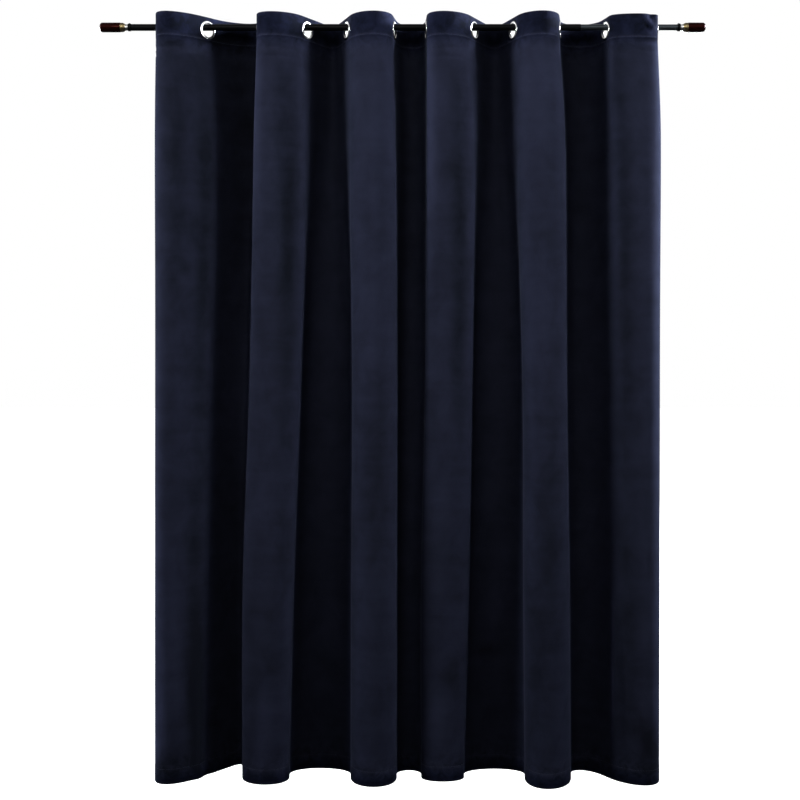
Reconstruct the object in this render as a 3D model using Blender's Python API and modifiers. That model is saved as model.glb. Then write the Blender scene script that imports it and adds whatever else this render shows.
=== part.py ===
"""Velvet eyelet curtain hanging on a telescopic rod.

Metres, +Z up. The origin is on the axis of the rod, at the middle of its length.
+X runs along the rod, -Y faces the room and +Y faces the wall.
"""
import math
from collections import namedtuple

import bmesh
import bpy
from mathutils import Matrix, Vector

CLOTH_WIDTH = 2.90
CLOTH_DROP = 2.45
CLOTH_THICKNESS = 0.0020
FOLDED_THICKNESS = 0.0030
HEADING_DEPTH = 0.0755
HEM_DEPTH = 0.049
SEAM_STEP = 0.0055

EYELET_BORE_R = 0.022
EYELET_BARREL_R = 0.024
EYELET_CROWN_R = 0.0258
EYELET_RIM_R = 0.030
EYELET_BORE_HALF = 0.0030
EYELET_CROWN_HALF = 0.0041
EYELET_RIM_HALF = 0.0026
EYELET_BELOW_EDGE = 0.042
EYELET_STEPS = 20
HOLE_CLEARANCE = 0.0004

OUTER_TUBE_R = 0.01075
INNER_TUBE_R = 0.00975
TUBE_WALL = 0.0007
TUBE_LEFT_END = -0.869
TUBE_STEP = 0.583
TUBE_RIGHT_END = 0.896
TUBE_OVERLAP = 0.35
TUBE_STEPS = 32

COLLAR_R = 0.0122
COLLAR_LENGTH = 0.0088
NECK_R = 0.0108
NECK_LENGTH = 0.0090
CUP_R = 0.0148
CUP_LENGTH = 0.0150
CUP_SHOULDER = 0.0068
FINIAL_R = 0.0155
FINIAL_LENGTHS = {"left": 0.0660, "right": 0.0560}
FINIAL_ROUNDING = 0.0040
TURNED_EDGE = 0.0008
SPIGOT_R = 0.0082
SPIGOT_DEPTH = 0.030
FINIAL_STEPS = 24

GAP = 0.0003

# Every side of a fold passes one eyelet, so there are twelve. Each row holds where the side crosses the
# line of the rod, at five heights, and how far it splays out from square to the rod, in degrees.
Side = namedtuple("Side", "head upper middle low hem splay_head splay_hem")
SIDES = [
    Side(-0.780, -0.786, -0.786, -0.786, -0.786, 0, 0),
    Side(-0.622, -0.600, -0.620, -0.628, -0.628, 44, 38),
    Side(-0.456, -0.468, -0.485, -0.507, -0.508, -3, 4),
    Side(-0.299, -0.297, -0.320, -0.344, -0.358, 33, -5),
    Side(-0.171, -0.165, -0.153, -0.156, -0.158, 21, 0),
    Side(-0.019, -0.012, -0.010, -0.011, -0.012, 10, -2),
    Side(0.086, 0.086, 0.083, 0.070, 0.070, 2, -3),
    Side(0.240, 0.244, 0.233, 0.221, 0.205, 29, 0),
    Side(0.366, 0.374, 0.397, 0.400, 0.404, 21, -7),
    Side(0.515, 0.533, 0.538, 0.547, 0.550, 10, 4),
    Side(0.665, 0.675, 0.675, 0.672, 0.663, 15, 32),
    Side(0.824, 0.835, 0.834, 0.832, 0.831, -3, 0),
]

# The cloth between two neighbouring sides, first a fold towards the room, then a valley towards the wall,
# and so on. Each row holds how much cloth the bend takes up at the heading and at the hem.
Bend = namedtuple("Bend", "name cloth_head cloth_hem")
BENDS = [
    Bend("fold_a", 0.250, 0.246),
    Bend("valley_ab", 0.250, 0.270),
    Bend("fold_b", 0.250, 0.253),
    Bend("valley_bc", 0.250, 0.289),
    Bend("fold_c", 0.250, 0.284),
    Bend("valley_cd", 0.250, 0.160),
    Bend("fold_d", 0.250, 0.198),
    Bend("valley_de", 0.250, 0.280),
    Bend("fold_e", 0.250, 0.318),
    Bend("valley_ef", 0.250, 0.178),
    Bend("fold_f", 0.233, 0.264),
]
LEFT_END_CLOTH = 0.075
END_CURL = math.radians(12)

# The flat stretch of cloth on each side of an eyelet's centre, and the same at the hem.
HEADING_FLAT_HALF = 0.0315
HEM_FLAT_HALF = 0.010

# Distances below the top edge at which the sides' five places hold. The heading is stiff, so its folds
# keep one plan down to its seam. The flats and the splay of the sides relax over the depths given.
KNOTS = [HEADING_DEPTH + SEAM_STEP, 0.40, 1.17, 1.85, CLOTH_DROP]
FLATS_RELAX = 0.9
SPLAY_RELAXES = 1.0

# Distances below the top edge at which the cloth has a row of corners.
ROWS = [0.0, HEADING_DEPTH, HEADING_DEPTH + SEAM_STEP, 0.19, 0.40, 0.65, 0.92, 1.20, 1.52, 1.85, 2.15,
        CLOTH_DROP - HEM_DEPTH - SEAM_STEP, CLOTH_DROP - HEM_DEPTH, CLOTH_DROP]
BEND_SEGMENTS = 7
END_SEGMENTS = 2
MEASURING_SEGMENTS = 24
HALVINGS = 30


def clear_scene():
    for old in list(bpy.data.objects):
        bpy.data.objects.remove(old, do_unlink=True)


def new_collection(name):
    group = bpy.data.collections.new(name)
    bpy.context.scene.collection.children.link(group)
    return group


def new_material(name, colour, roughness, metallic):
    material = bpy.data.materials.new(name)
    material.use_nodes = True
    shader = material.node_tree.nodes["Principled BSDF"]
    shader.inputs["Base Color"].default_value = (*colour, 1.0)
    shader.inputs["Roughness"].default_value = roughness
    shader.inputs["Metallic"].default_value = metallic
    return material


def new_object(name, mesh, group, material=None):
    thing = bpy.data.objects.new(name, mesh)
    group.objects.link(thing)
    if material:
        mesh.materials.append(material)
    return thing


def turned(name, section, steps, group, material, closed):
    """A solid turned about local Z. The section's outer side runs from top to bottom."""
    mesh = bpy.data.meshes.new(name)
    edges = [(i, i + 1) for i in range(len(section) - 1)]
    if closed:
        edges.append((len(section) - 1, 0))
    mesh.from_pydata([(r, 0.0, h) for r, h in section], edges, [])
    thing = new_object(name, mesh, group, material)
    screw = thing.modifiers.new("turn", "SCREW")
    screw.steps = steps
    screw.render_steps = steps
    screw.use_merge_vertices = True
    screw.merge_threshold = 0.00001
    screw.use_smooth_shade = True
    return thing


def smooth_at(values, depth):
    """A smooth curve through one value at each knot, read at a depth below the top edge."""
    depth = min(max(depth, KNOTS[0]), KNOTS[-1])
    slopes = []
    for i in range(len(KNOTS)):
        before = max(i - 1, 0)
        after = min(i + 1, len(KNOTS) - 1)
        slopes.append((values[after] - values[before]) / (KNOTS[after] - KNOTS[before]))
    i = 0
    while depth > KNOTS[i + 1]:
        i += 1
    span = KNOTS[i + 1] - KNOTS[i]
    t = (depth - KNOTS[i]) / span
    start = (2 * t + 1) * (1 - t) ** 2
    end = t * t * (3 - 2 * t)
    leave = t * (1 - t) ** 2
    arrive = t * t * (t - 1)
    return start * values[i] + end * values[i + 1] + span * (leave * slopes[i] + arrive * slopes[i + 1])


def eased(head, low, depth, over):
    """A value that eases from the heading's to the lower cloth's over a length of drop."""
    t = min(max((depth - KNOTS[0]) / over, 0.0), 1.0)
    return head + (low - head) * t * t * (3 - 2 * t)


def travel(index, splay):
    """The direction in which the cloth runs past a side: towards the room on even ones."""
    outward = -1 if index % 2 == 0 else 1
    return Vector((math.sin(splay), outward * math.cos(splay)))


def bezier(cage, t):
    a, b, c, d = cage
    s = 1 - t
    return a * s ** 3 + b * (3 * s * s * t) + c * (3 * s * t * t) + d * t ** 3


def length_of(points):
    return sum((b - a).length for a, b in zip(points, points[1:]))


def bend_points(start, leave, end, arrive, cloth):
    """A bend from start to end that takes up the given length of cloth."""
    low, high = 0.0, cloth
    for _ in range(HALVINGS):
        handle = (low + high) / 2
        cage = (start, start + leave * handle, end - arrive * handle, end)
        if length_of([bezier(cage, i / MEASURING_SEGMENTS) for i in range(MEASURING_SEGMENTS + 1)]) < cloth:
            low = handle
        else:
            high = handle
    return [bezier(cage, i / BEND_SEGMENTS) for i in range(BEND_SEGMENTS + 1)]


def end_points(start, way, length):
    """The free cloth past the last side, which curls slightly as it goes."""
    points = [start]
    for i in range(END_SEGMENTS):
        turn = END_CURL * (i + 1) / END_SEGMENTS
        step = Matrix.Rotation(turn, 2) @ way * (length / END_SEGMENTS)
        points.append(points[-1] + step)
    return points[1:]


def plan_at(depth):
    """The line of the cloth seen from above, from its left edge to its right one."""
    flat_half = eased(HEADING_FLAT_HALF, HEM_FLAT_HALF, depth, FLATS_RELAX)
    crossings = []
    ways = []
    for i, side in enumerate(SIDES):
        x = smooth_at((side.head, side.upper, side.middle, side.low, side.hem), depth)
        splay = math.radians(eased(side.splay_head, side.splay_hem, depth, SPLAY_RELAXES))
        crossings.append(Vector((x, 0.0)))
        ways.append(travel(i, splay))
    start = crossings[0] - ways[0] * flat_half
    left = end_points(start, -ways[0], LEFT_END_CLOTH - flat_half)
    points = left[::-1] + [start, crossings[0]]
    used = LEFT_END_CLOTH
    for i, bend in enumerate(BENDS):
        cloth = eased(bend.cloth_head, bend.cloth_hem, depth, KNOTS[-1] - KNOTS[0])
        used += cloth
        leave = crossings[i] + ways[i] * flat_half
        arrive = crossings[i + 1] - ways[i + 1] * flat_half
        points += bend_points(leave, ways[i], arrive, ways[i + 1], cloth - 2 * flat_half)
        points.append(crossings[i + 1])
    finish = crossings[-1] + ways[-1] * flat_half
    right = end_points(finish, ways[-1], CLOTH_WIDTH - used - flat_half)
    return points + [finish] + right


def rod_radius(x):
    return OUTER_TUBE_R if x < TUBE_STEP else INNER_TUBE_R


def hang_below(side):
    """How far an eyelet's centre hangs below the rod's axis when the eyelet rests on the rod."""
    splay = math.radians(side.splay_head)
    radius = rod_radius(side.head)
    wide = radius / math.cos(splay)
    shift = EYELET_BORE_HALF * abs(math.tan(splay))
    low, high = 0.0, EYELET_BORE_R
    for _ in range(HALVINGS):
        drop = (low + high) / 2
        turns = [math.radians(degrees) for degrees in range(91)]
        reach = max(math.hypot(wide * math.cos(turn) + shift, drop + radius * math.sin(turn)) for turn in turns)
        if reach < EYELET_BORE_R - GAP:
            low = drop
        else:
            high = drop
    return low


def edge_heights():
    """The height of the top edge at each column of the cloth, set by what its eyelets hang from."""
    tops = [EYELET_BELOW_EDGE - hang_below(side) for side in SIDES]
    heights = [tops[0]] * (END_SEGMENTS + 2)
    for left, right in zip(tops, tops[1:]):
        for i in range(BEND_SEGMENTS + 1):
            heights.append(left + (right - left) * i / BEND_SEGMENTS)
        heights.append(right)
    return heights + [tops[-1]] * (END_SEGMENTS + 1)


def thickness_share(depth):
    """Thick where the cloth is turned over, at the heading and the hem, and thin between."""
    turned_over = depth <= HEADING_DEPTH or depth >= CLOTH_DROP - HEM_DEPTH
    return 1.0 if turned_over else CLOTH_THICKNESS / FOLDED_THICKNESS


def make_panel(group, cutters, material):
    """The cloth: a grid with a column for each point of the plan, given its thickness."""
    plans = [plan_at(depth) for depth in ROWS]
    tops = edge_heights()
    last_column = len(tops) - 1
    last_row = len(ROWS) - 1
    mesh = bpy.data.meshes.new("velvet_panel")
    grid = bmesh.new()
    bmesh.ops.create_grid(grid, x_segments=last_column, y_segments=last_row, size=1)
    shares = []
    for corner in grid.verts:
        column = round((1 + corner.co.x) / 2 * last_column)
        row = round((1 - corner.co.y) / 2 * last_row)
        place = plans[row][column]
        corner.co = (place.x, place.y, tops[column] - ROWS[row])
        shares.append(thickness_share(ROWS[row]))
    for face in grid.faces:
        face.smooth = True
    grid.to_mesh(mesh)
    grid.free()
    panel = new_object("velvet_panel", mesh, group, material)
    layers = panel.vertex_groups.new(name="layers")
    for corner, share in enumerate(shares):
        layers.add([corner], share, "REPLACE")
    solid = panel.modifiers.new("cloth thickness", "SOLIDIFY")
    solid.thickness = FOLDED_THICKNESS
    solid.offset = 0
    solid.use_even_offset = True
    solid.vertex_group = layers.name
    holes = panel.modifiers.new("eyelet holes", "BOOLEAN")
    holes.operand_type = "COLLECTION"
    holes.collection = cutters
    holes.operation = "DIFFERENCE"
    holes.solver = "EXACT"


def stand_in_cloth(thing, side, index):
    """Turns a ring or its hole to lie in the cloth of one side, and hangs it on the rod."""
    way = travel(index, math.radians(side.splay_head))
    thing.location = (side.head, 0.0, -hang_below(side))
    thing.rotation_euler = (0.0, math.pi / 2, math.atan2(-way.x, way.y))


def make_hole_cutter(side, index, cutters):
    mesh = bpy.data.meshes.new("hole_cutter")
    drum = bmesh.new()
    radius = EYELET_BARREL_R + HOLE_CLEARANCE
    bmesh.ops.create_cone(drum, cap_ends=True, segments=EYELET_STEPS, radius1=radius, radius2=radius,
                          depth=4 * EYELET_CROWN_HALF)
    drum.to_mesh(mesh)
    drum.free()
    cutter = new_object(f"hole_cutter_{index + 1:02d}", mesh, cutters)
    cutter.display_type = "WIRE"
    cutter.hide_render = True
    stand_in_cloth(cutter, side, index)


def make_eyelet(side, index, group, material):
    """A pressed ring: a barrel through the cloth and a rounded flange on each face of it."""
    face = FOLDED_THICKNESS / 2 + GAP
    upper = [
        (EYELET_BORE_R, EYELET_BORE_HALF),
        (EYELET_CROWN_R, EYELET_CROWN_HALF),
        (EYELET_RIM_R, EYELET_RIM_HALF),
        (EYELET_RIM_R, face),
        (EYELET_BARREL_R, face),
    ]
    lower = [(r, -h) for r, h in reversed(upper)]
    ring = turned(f"eyelet_{index + 1:02d}", upper + lower, EYELET_STEPS, group, material, closed=True)
    stand_in_cloth(ring, side, index)


def make_tube(name, radius, start, end, group, material):
    half = (end - start) / 2
    inside = radius - TUBE_WALL
    section = [(inside, half), (radius, half), (radius, -half), (inside, -half)]
    tube = turned(name, section, TUBE_STEPS, group, material, closed=True)
    tube.location = ((start + end) / 2, 0.0, 0.0)
    tube.rotation_euler = (0.0, math.pi / 2, 0.0)


def make_finial(side, tube_end, outward, group, finishes):
    """A collar against the tube's end, a neck, a cup, and a cylinder whose spigot runs through all three."""
    bore = SPIGOT_R + GAP
    edge = TURNED_EDGE
    soft = FINIAL_ROUNDING
    cut = soft * (1 - math.cos(math.pi / 4))
    collar_end = GAP + COLLAR_LENGTH
    neck_start = collar_end + GAP
    neck_end = neck_start + NECK_LENGTH
    cup_start = neck_end + GAP
    cup_end = cup_start + CUP_LENGTH
    body_start = cup_end + GAP
    body_end = body_start + FINIAL_LENGTHS[side]
    collar = [
        (bore, collar_end),
        (COLLAR_R - edge, collar_end),
        (COLLAR_R, collar_end - edge),
        (COLLAR_R, GAP + edge),
        (COLLAR_R - edge, GAP),
        (bore, GAP),
    ]
    neck = [
        (bore, neck_end),
        (NECK_R, neck_end),
        (NECK_R - edge, (neck_start + neck_end) / 2),
        (NECK_R, neck_start),
        (bore, neck_start),
    ]
    cup = [
        (bore, cup_end),
        (CUP_R - edge, cup_end),
        (CUP_R, cup_end - edge),
        (CUP_R, cup_start + CUP_SHOULDER),
        (NECK_R + edge, cup_start + edge),
        (NECK_R, cup_start),
        (bore, cup_start),
    ]
    cylinder = [
        (0.0, body_end),
        (FINIAL_R - soft, body_end),
        (FINIAL_R - cut, body_end - cut),
        (FINIAL_R, body_end - soft),
        (FINIAL_R, body_start + edge),
        (FINIAL_R - edge, body_start),
        (SPIGOT_R, body_start),
        (SPIGOT_R, -SPIGOT_DEPTH),
        (0.0, -SPIGOT_DEPTH),
    ]
    pieces = [
        (f"rod_collar_{side}", collar, finishes["black"], True),
        (f"finial_neck_{side}", neck, finishes["steel"], True),
        (f"finial_cup_{side}", cup, finishes["brass"], True),
        (f"finial_{side}", cylinder, finishes["brown"], False),
    ]
    for name, section, material, closed in pieces:
        piece = turned(name, section, FINIAL_STEPS, group, material, closed)
        piece.location = (tube_end, 0.0, 0.0)
        piece.rotation_euler = (0.0, outward * math.pi / 2, 0.0)


clear_scene()
parts = new_collection("curtain_on_rod")
hole_cutters = new_collection("hole_cutters")
hole_cutters.hide_render = True
finishes = {
    "velvet": new_material("navy_velvet", (0.010, 0.012, 0.030), 0.85, 0.0),
    "steel": new_material("bright_steel", (0.70, 0.70, 0.68), 0.18, 1.0),
    "brass": new_material("aged_brass", (0.42, 0.36, 0.20), 0.25, 1.0),
    "black": new_material("black_rod_paint", (0.012, 0.012, 0.014), 0.35, 0.2),
    "brown": new_material("brown_lacquer", (0.030, 0.008, 0.006), 0.22, 0.0),
}
for number, each_side in enumerate(SIDES):
    make_hole_cutter(each_side, number, hole_cutters)
    make_eyelet(each_side, number, parts, finishes["steel"])
make_panel(parts, hole_cutters, finishes["velvet"])
make_tube("rod_outer_tube", OUTER_TUBE_R, TUBE_LEFT_END, TUBE_STEP, parts, finishes["black"])
make_tube("rod_inner_tube", INNER_TUBE_R, TUBE_STEP - TUBE_OVERLAP, TUBE_RIGHT_END, parts, finishes["black"])
make_finial("left", TUBE_LEFT_END, -1, parts, finishes)
make_finial("right", TUBE_RIGHT_END, 1, parts, finishes)
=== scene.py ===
import math
from collections import namedtuple

import bmesh
import bpy
from mathutils import Matrix, Vector


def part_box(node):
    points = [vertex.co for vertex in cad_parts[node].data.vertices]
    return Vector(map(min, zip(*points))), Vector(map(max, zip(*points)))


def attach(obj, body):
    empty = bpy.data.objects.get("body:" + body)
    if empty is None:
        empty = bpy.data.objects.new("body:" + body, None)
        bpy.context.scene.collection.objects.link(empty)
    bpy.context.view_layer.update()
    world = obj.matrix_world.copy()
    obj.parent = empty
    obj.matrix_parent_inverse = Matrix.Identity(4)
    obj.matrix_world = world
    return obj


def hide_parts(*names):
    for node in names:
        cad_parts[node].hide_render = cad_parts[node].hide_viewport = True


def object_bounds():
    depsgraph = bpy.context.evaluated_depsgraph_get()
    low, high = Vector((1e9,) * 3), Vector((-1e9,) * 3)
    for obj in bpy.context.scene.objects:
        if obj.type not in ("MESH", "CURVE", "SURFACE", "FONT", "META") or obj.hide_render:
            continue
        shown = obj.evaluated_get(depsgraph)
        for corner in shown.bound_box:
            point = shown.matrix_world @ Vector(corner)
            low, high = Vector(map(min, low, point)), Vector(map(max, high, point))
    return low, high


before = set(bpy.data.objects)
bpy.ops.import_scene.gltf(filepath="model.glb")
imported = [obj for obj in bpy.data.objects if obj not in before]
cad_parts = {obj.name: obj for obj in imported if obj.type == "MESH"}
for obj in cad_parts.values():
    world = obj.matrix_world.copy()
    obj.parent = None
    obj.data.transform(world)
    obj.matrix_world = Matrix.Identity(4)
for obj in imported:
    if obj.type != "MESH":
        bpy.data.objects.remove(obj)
cad_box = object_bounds()


# The camera stands level, four metres in front of the rod and about a metre below it. Its lens is
# shifted, so that the rod is near the top of the picture and the hem near the bottom.
CAMERA_DISTANCE = 4.0
CAMERA_BELOW_ROD = 1.068
PICTURE_SIDE_PX = 800
HORIZON_PX = 358
FOCAL_LENGTH_PX = 1238
SENSOR_MM = 36

bpy.ops.object.camera_add(location=(0, -CAMERA_DISTANCE, -CAMERA_BELOW_ROD), rotation=(math.pi / 2, 0, 0))
camera = bpy.context.object
camera.data.sensor_width = SENSOR_MM
camera.data.lens = FOCAL_LENGTH_PX / PICTURE_SIDE_PX * SENSOR_MM
camera.data.shift_y = (HORIZON_PX - PICTURE_SIDE_PX / 2) / PICTURE_SIDE_PX
bpy.context.scene.camera = camera


# The rod is two steel tubes, the thinner one sliding in the thicker one. Each is welded from strip and
# sprayed, the thick one black and the thin one a dark grey, and its cut ends are dressed smooth.
TUBE_WALL = 0.0007
TUBE_EDGE = 0.0002
TURNED_STEPS = 72
ROUNDING_STEPS = 5
SAME_PLACE = 0.00001
ROD_AXIS = Vector((1, 0, 0))
BLACK_PAINT = (0.0013, 0.0015, 0.0020)
BLACK_PAINT_WORN = (0.0038, 0.0043, 0.0052)
GREY_PAINT = (0.026, 0.033, 0.040)
GREY_PAINT_WORN = (0.052, 0.062, 0.072)
SCUFFS_PER_METRE = (40, 900, 900)
SCUFF_STRENGTH = 0.5


def select_points(piece, wanted):
    """Selects, in edit mode, the points for which wanted(place) is true."""
    mesh = bmesh.from_edit_mesh(piece.data)
    for point in mesh.verts:
        point.select_set(wanted(point.co))
    mesh.select_flush_mode()
    bmesh.update_edit_mesh(piece.data)


def spun(name, section, axis, steps):
    """A turned piece: a wire is drawn through the corners of its section, each corner is rounded, and the
    wire is spun about the axis. A corner is its x, its z and its radius. An open wire starts and ends on
    the axis."""
    corners = [(Vector((x, 0, z)), rounding) for x, z, rounding in section]
    start = corners[0][0]
    bpy.ops.object.select_all(action="DESELECT")
    bpy.ops.mesh.primitive_plane_add(size=0.001, location=(0, 0, 0))
    piece = bpy.context.object
    piece.name = name
    bpy.ops.object.mode_set(mode="EDIT")
    bpy.ops.mesh.select_all(action="SELECT")
    bpy.ops.mesh.merge(type="CENTER")
    bpy.ops.transform.translate(value=start)
    for (here, _), (there, _) in zip(corners, corners[1:]):
        bpy.ops.mesh.extrude_vertices_move(TRANSFORM_OT_translate={"value": there - here})
    if start.cross(axis).length > SAME_PLACE:
        ends = (start, corners[-1][0])
        select_points(piece, lambda place: min((place - end).length for end in ends) < SAME_PLACE)
        bpy.ops.mesh.edge_face_add()
    for corner, rounding in corners:
        if rounding:
            select_points(piece, lambda place: (place - corner).length < SAME_PLACE)
            bpy.ops.mesh.bevel(offset=rounding, segments=ROUNDING_STEPS, affect="VERTICES")
    bpy.ops.mesh.select_all(action="SELECT")
    bpy.ops.mesh.spin(steps=steps, angle=2 * math.pi, center=(0, 0, 0), axis=axis)
    bpy.ops.mesh.select_all(action="SELECT")
    bpy.ops.mesh.remove_doubles(threshold=SAME_PLACE / 2)
    bpy.ops.mesh.normals_make_consistent(inside=False)
    bpy.ops.object.mode_set(mode="OBJECT")
    bpy.ops.object.shade_smooth_by_angle(angle=math.radians(40))
    return piece


def size_along_rod(node):
    """Where a piece of the frame starts and ends along the rod, and its outer radius."""
    low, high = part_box(node)
    return low.x, high.x, (high.z - low.z) / 2


def new_finish(name):
    """A new material, with its tree and its shader."""
    finish = bpy.data.materials.new(name)
    finish.use_nodes = True
    return finish, finish.node_tree, finish.node_tree.nodes["Principled BSDF"]


def plug(tree, node, inputs):
    """Gives each of a node's inputs its value, or links it to the output of another node."""
    for socket, value in dict(inputs).items():
        if isinstance(value, bpy.types.NodeSocket):
            tree.links.new(value, node.inputs[socket])
        else:
            node.inputs[socket].default_value = value


def add_node(tree, kind, inputs=(), **settings):
    """A new node, with its settings and its inputs."""
    node = tree.nodes.new(kind)
    for setting, value in settings.items():
        setattr(node, setting, value)
    plug(tree, node, inputs)
    return node


def mixed(tree, share, first, second, kind="FLOAT"):
    """A value between two, by a share."""
    ends = {"Factor": share, "A": first, "B": second}
    return add_node(tree, "ShaderNodeMix", ends, data_type=kind).outputs["Result"]


def blended(tree, share, first, second):
    """A colour between two, by a share that changes over the surface."""
    return mixed(tree, share, (*first, 1), (*second, 1), "RGBA")


def ranged(tree, value, low, high, start=0.0, end=1.0, **settings):
    """A value that goes from low to high as the one given goes from start to end."""
    ends = {"Value": value, "From Min": start, "From Max": end, "To Min": low, "To Max": high}
    return add_node(tree, "ShaderNodeMapRange", ends, **settings).outputs["Result"]


def reckoned(tree, operation, *values, **settings):
    """What comes of an operation on one, two or three values."""
    node = add_node(tree, "ShaderNodeMath", enumerate(values), operation=operation, **settings)
    return node.outputs["Value"]


def noise(tree, place, **inputs):
    """Soft noise from nought to one."""
    return add_node(tree, "ShaderNodeTexNoise", {"Vector": place, **inputs}).outputs["Fac"]


def stretched(tree, place, **inputs):
    """A place scaled, turned or moved before a pattern reads it."""
    return add_node(tree, "ShaderNodeMapping", {"Vector": place, **inputs}).outputs["Vector"]


def new_group(name, size, results):
    """A new node group that takes one size and gives the named values, and how many of that size make a
    metre."""
    group = bpy.data.node_groups.new(name, "ShaderNodeTree")
    group.interface.new_socket(size, in_out="INPUT", socket_type="NodeSocketFloat")
    for result in results:
        group.interface.new_socket(result, in_out="OUTPUT", socket_type="NodeSocketFloat")
    given = add_node(group, "NodeGroupInput")
    return group, reckoned(group, "DIVIDE", 1.0, given.outputs[size])


def make_handling_group():
    """Smudges from hands and fine scuffs along the rod, which every hard finish here has."""
    group, per_metre = new_group("handling", "Smudge Size", ["Smudge", "Scuff"])
    place = add_node(group, "ShaderNodeTexCoord").outputs["Object"]
    smudge = noise(group, place, Scale=per_metre, Detail=4.0, Roughness=0.6)
    scuff = noise(group, stretched(group, place, Scale=SCUFFS_PER_METRE), Scale=1.0, Detail=2.0)
    add_node(group, "NodeGroupOutput", {"Smudge": smudge, "Scuff": scuff})
    return group


handling = make_handling_group()


def fill_shader(tree, shader, colour, roughness, height, strength, distance, sockets):
    """Plugs a finish's colour, roughness and bumps into its shader and sets its other sockets."""
    bumps = {"Strength": strength, "Distance": distance, "Height": height}
    normal = add_node(tree, "ShaderNodeBump", bumps).outputs["Normal"]
    plug(tree, shader, {"Base Color": colour, "Roughness": roughness, "Normal": normal})
    plug(tree, shader, {socket.replace("_", " "): value for socket, value in sockets.items()})


def make_hard_finish(name, clean, worn, smudge_size, roughness, scuff_height, **sockets):
    """A painted, plated or lacquered finish: two tones of a colour, smudged gloss and fine scuffs."""
    finish, tree, shader = new_finish(name)
    marks = add_node(tree, "ShaderNodeGroup", {"Smudge Size": smudge_size}, node_tree=handling).outputs
    colour = blended(tree, marks["Smudge"], clean, worn)
    gloss = ranged(tree, marks["Smudge"], *roughness)
    fill_shader(tree, shader, colour, gloss, marks["Scuff"], SCUFF_STRENGTH, scuff_height, sockets)
    return finish


def make_turned(name, node, section, finish):
    """A turned piece about the rod's axis, in the place of a node of the frame."""
    piece = spun(name, section, ROD_AXIS, TURNED_STEPS)
    piece.data.materials.append(finish)
    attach(piece, "root")
    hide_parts(node)
    return piece


def make_tube(name, node, finish):
    start, end, radius = size_along_rod(node)
    inside = radius - TUBE_WALL
    places = [(start, inside), (start, radius), (end, radius), (end, inside)]
    return make_turned(name, node, [(*place, TUBE_EDGE) for place in places], finish)


black_paint = make_hard_finish("black_paint", BLACK_PAINT, BLACK_PAINT_WORN, 0.05, (0.30, 0.48), 0.00002,
                               Specular_IOR_Level=0.06)
grey_paint = make_hard_finish("grey_paint", GREY_PAINT, GREY_PAINT_WORN, 0.04, (0.22, 0.38), 0.00002,
                              Metallic=0.7)
outer_tube = make_tube("outer_tube", "rod_outer_tube", black_paint)
inner_tube = make_tube("inner_tube", "rod_inner_tube", grey_paint)


# A black ring closes each tube's end and holds the finial with a small grub screw in its top.
# It is turned from steel, its edges are broken, and it is sprayed with the rod.
SPIGOT_RADIUS = 0.0082
BORE_RADIUS = 0.0085
COLLAR_EDGE = 0.0008
SCREW_RADIUS = 0.0021
SCREW_STANDS_OUT = 0.0013
SCREW_IN_COLLAR = 0.0020
SCREW_EDGE = 0.0004
SCREW_SOCKET = 0.0011
SOCKET_DEPTH = 0.8 * SCREW_STANDS_OUT


def make_collar(side):
    node = f"rod_collar_{side}"
    start, end, radius = size_along_rod(node)
    section = [
        (start, BORE_RADIUS, 0),
        (start, radius, COLLAR_EDGE),
        (end, radius, COLLAR_EDGE),
        (end, BORE_RADIUS, 0),
    ]
    make_turned(f"collar_{side}", node, section, black_paint)
    return (start + end) / 2, radius


def make_grub_screw(name, along, collar_radius):
    """A small screw with a socket in its head, driven into the top of the collar."""
    top = collar_radius + SCREW_STANDS_OUT
    bottom = collar_radius - SCREW_IN_COLLAR
    bpy.ops.object.select_all(action="DESELECT")
    bpy.ops.mesh.primitive_cylinder_add(vertices=36, radius=SCREW_RADIUS, depth=top - bottom,
                                        location=(along, 0, (top + bottom) / 2))
    screw = bpy.context.object
    screw.name = name
    bpy.ops.object.transform_apply(location=True, rotation=False, scale=False)
    bpy.ops.object.mode_set(mode="EDIT")
    bpy.ops.mesh.select_mode(type="VERT")
    select_points(screw, lambda place: place.z > top - SAME_PLACE)
    bpy.ops.mesh.bevel(offset=SCREW_EDGE, segments=4)
    bpy.ops.mesh.select_mode(type="FACE")
    mesh = bmesh.from_edit_mesh(screw.data)
    for face in mesh.faces:
        face.select_set(face.normal.z > 0.99)
    bmesh.update_edit_mesh(screw.data)
    bpy.ops.mesh.inset(thickness=SCREW_RADIUS - SCREW_EDGE - SCREW_SOCKET)
    bpy.ops.mesh.extrude_region_move(TRANSFORM_OT_translate={"value": (0, 0, -SOCKET_DEPTH)})
    bpy.ops.mesh.select_mode(type="VERT")
    bpy.ops.object.mode_set(mode="OBJECT")
    bpy.ops.object.shade_smooth_by_angle(angle=math.radians(35))
    screw.data.materials.append(black_paint)
    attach(screw, "root")


for side in ("left", "right"):
    collar_middle, collar_radius = make_collar(side)
    make_grub_screw(f"grub_screw_{side}", collar_middle, collar_radius)


# Between the collar and the finial sits a bright neck, a plated steel ring with a waist turned in it.
# The finial's spigot runs through it.
NECK_WAIST = 0.0012
WAIST_ROUNDING = 0.0022
NECK_EDGE = 0.0006
STEEL = (0.76, 0.76, 0.75)
STEEL_DULL = (0.60, 0.60, 0.60)

bright_steel = make_hard_finish("bright_steel", STEEL, STEEL_DULL, 0.02, (0.06, 0.20), 0.00001, Metallic=1.0)
for side in ("left", "right"):
    node = f"finial_neck_{side}"
    start, end, radius = size_along_rod(node)
    neck_section = [
        (start, BORE_RADIUS, 0),
        (start, radius, NECK_EDGE),
        ((start + end) / 2, radius - NECK_WAIST, WAIST_ROUNDING),
        (end, radius, NECK_EDGE),
        (end, BORE_RADIUS, 0),
    ]
    make_turned(f"neck_{side}", node, neck_section, bright_steel)


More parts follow.
